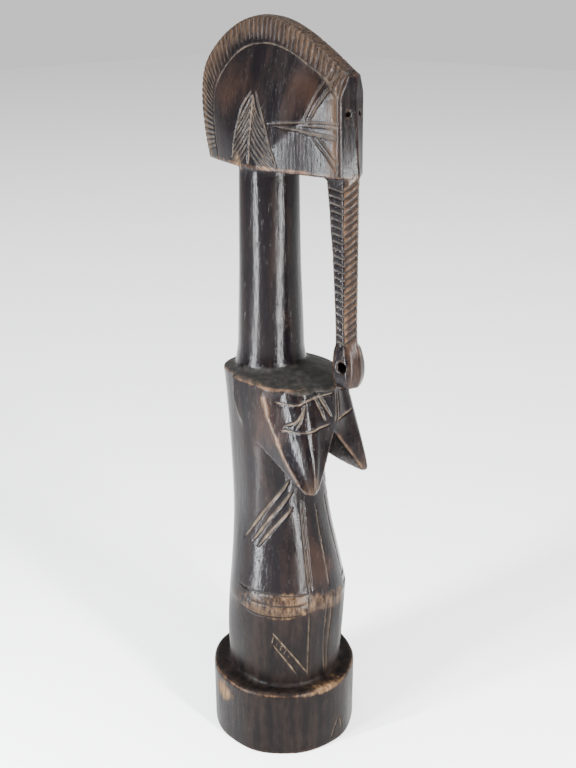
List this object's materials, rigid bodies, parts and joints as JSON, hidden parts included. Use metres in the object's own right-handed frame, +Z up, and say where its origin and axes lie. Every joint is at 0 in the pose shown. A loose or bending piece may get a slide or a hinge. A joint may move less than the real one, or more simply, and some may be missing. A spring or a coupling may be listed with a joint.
{
  "type": "mossi fertility doll",
  "caption": "Upright abstract wooden doll on a round drum foot, with a cylindrical torso, a long neck, a flat crested head and a plait hanging free in front.",
  "frame": {"origin": "centre of the round base's flat underside", "axes": "+Z up along the figure, -Y the way the doll faces, -X its right-hand side"},
  "size_m": [0.062, 0.0799, 0.3005],
  "materials": {
    "patinated_wood": "dark handled patina, satin to glossy, worn to brown along the edges, with pale scratched lines"
  },
  "bodies": {
    "root": {"doll": "patinated_wood"}
  },
  "joints": []
}
